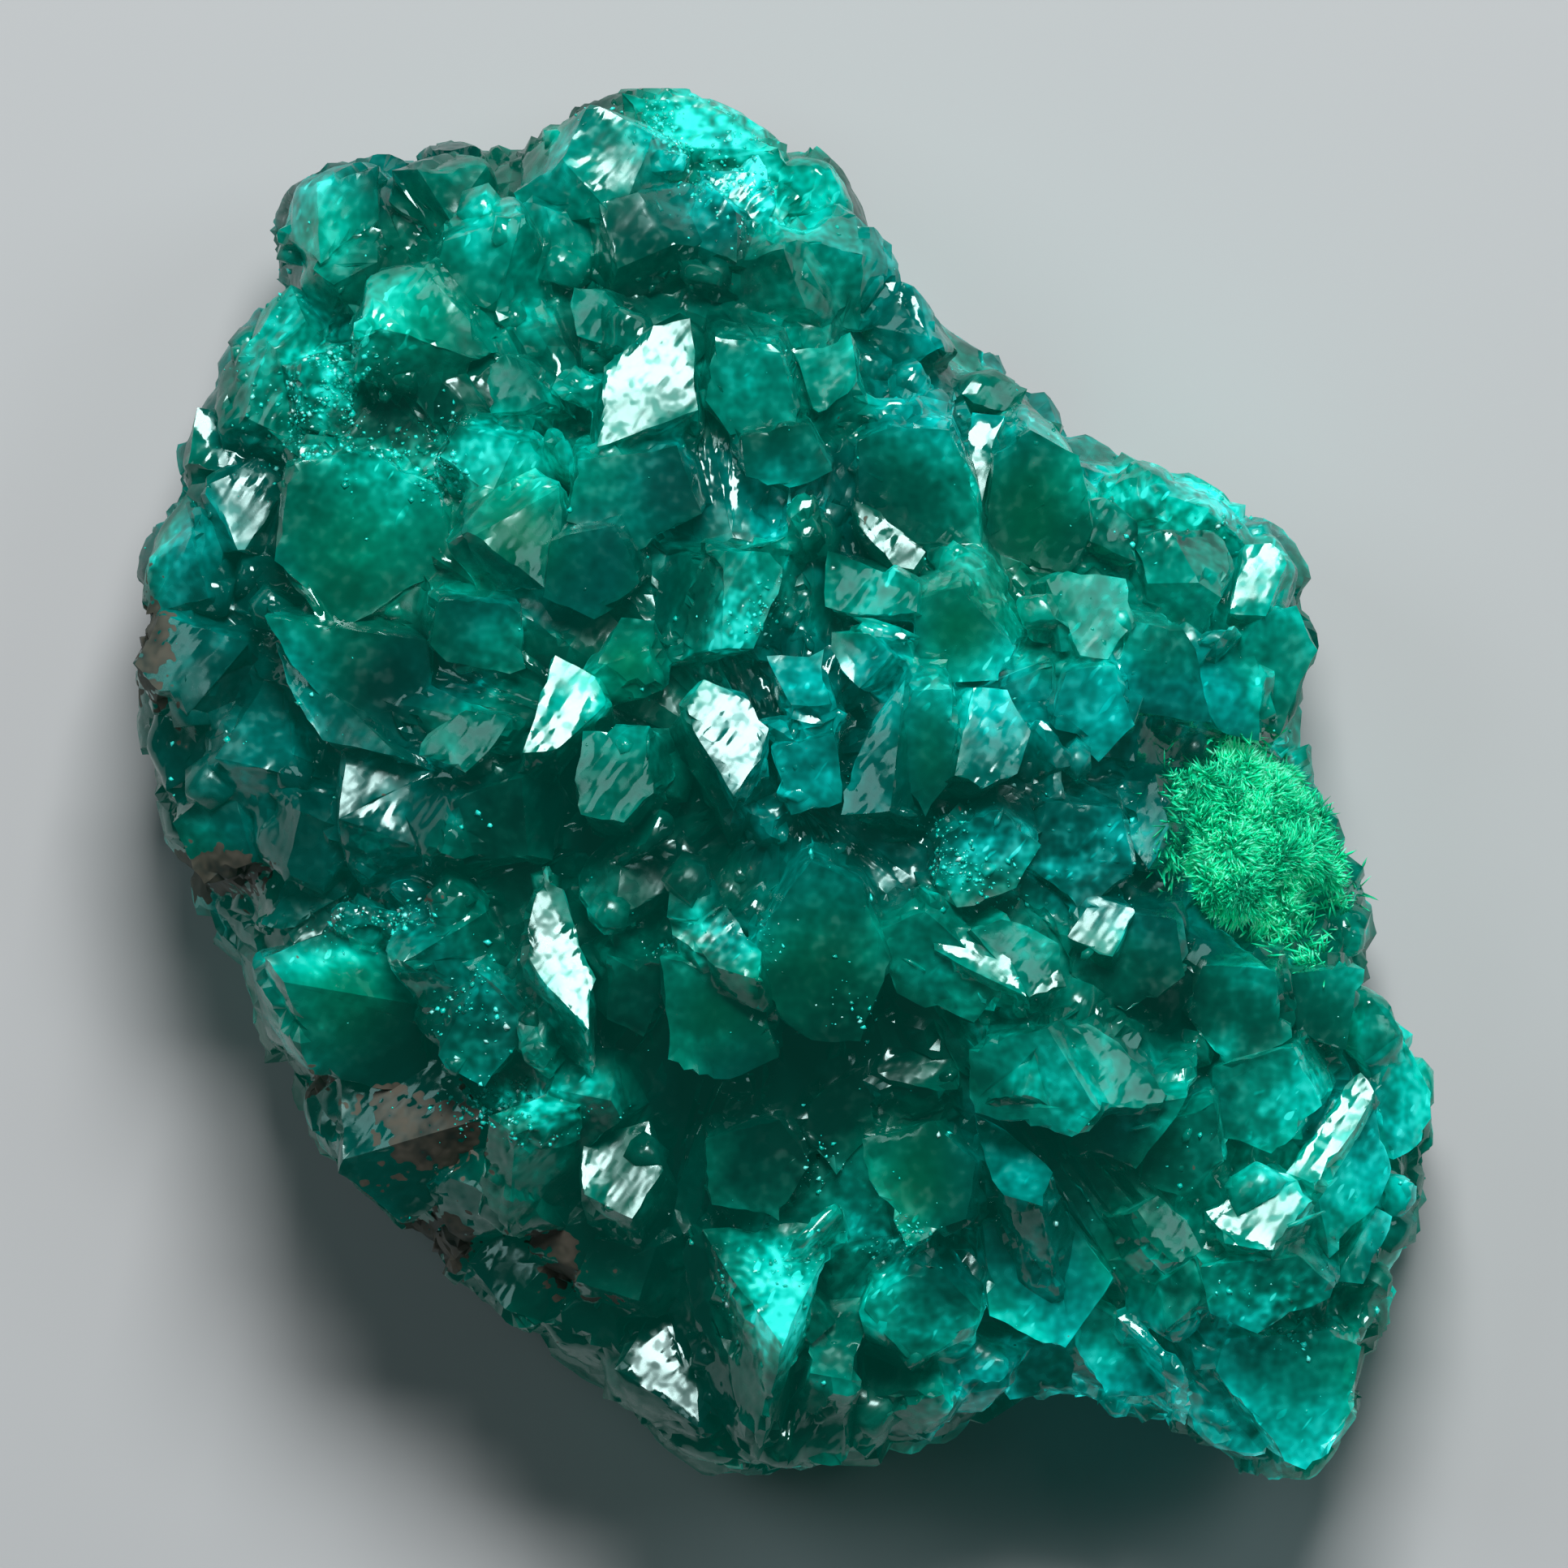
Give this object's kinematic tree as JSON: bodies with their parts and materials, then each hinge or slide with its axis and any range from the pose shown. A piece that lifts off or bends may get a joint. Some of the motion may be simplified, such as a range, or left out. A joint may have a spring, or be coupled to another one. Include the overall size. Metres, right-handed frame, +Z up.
{
  "type": "dioptase specimen",
  "caption": "Rounded hand specimen of intergrown deep green dioptase crystals with stepped flat ends and a bright felted tuft of malachite in a niche; lies on its flat broken base.",
  "frame": {"origin": "middle of the specimen's box seen from above, on the flat base that it rests on", "axes": "+Z up from the base, towards the crowded crystal ends; +Y towards the upper edge of the usual view from above, which is the long direction; +X to the right of that view"},
  "size_m": [0.0484, 0.0518, 0.024],
  "materials": {
    "dioptase": "vitreous, translucent deep emerald to teal, with cloudy veils and flat glossy crystal ends",
    "malachite": "matte to silky felt of fine bright green needles"
  },
  "bodies": {
    "root": {"dioptase_cluster": "dioptase", "malachite_tuft": "malachite"}
  },
  "joints": []
}
